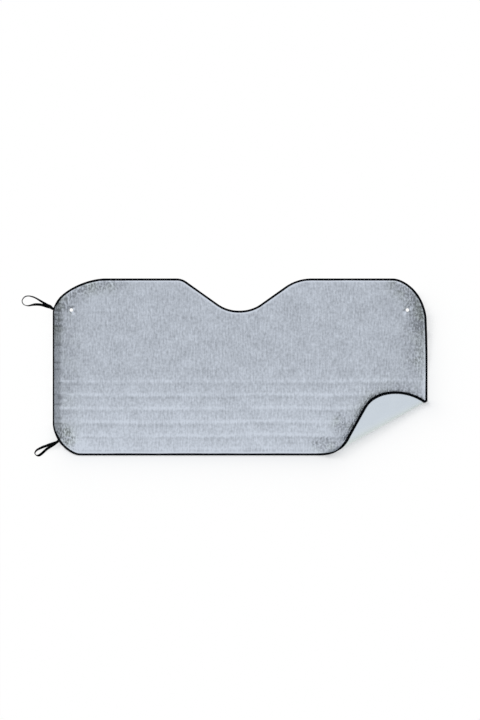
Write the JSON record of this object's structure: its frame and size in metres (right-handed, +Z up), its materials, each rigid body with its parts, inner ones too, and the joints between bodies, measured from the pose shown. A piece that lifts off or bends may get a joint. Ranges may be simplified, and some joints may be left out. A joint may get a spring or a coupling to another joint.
{
  "type": "windscreen sunshade",
  "caption": "Reflective bubble-foil windscreen sunshade with a mirror notch, bound edge and elastic roll-up loops, lying face up with one corner curled over.",
  "frame": {"origin": "middle of the whole part's plan, on the surface it lies on", "axes": "+X along the sheet's width to the curled corner's side, +Y towards the edge with the mirror notch, +Z up, out of the reflective face"},
  "size_m": [1.3764, 0.604, 0.046],
  "materials": {
    "foil": "crinkled aluminised film over bubbles, pale grey film on the back",
    "tape": "black woven binding tape, sewn",
    "elastic": "black braided flat elastic"
  },
  "bodies": {
    "root": {"reflective_panel": "foil", "edge_binding": "tape", "elastic_loop_upper": "elastic", "elastic_loop_lower": "elastic"}
  },
  "joints": []
}
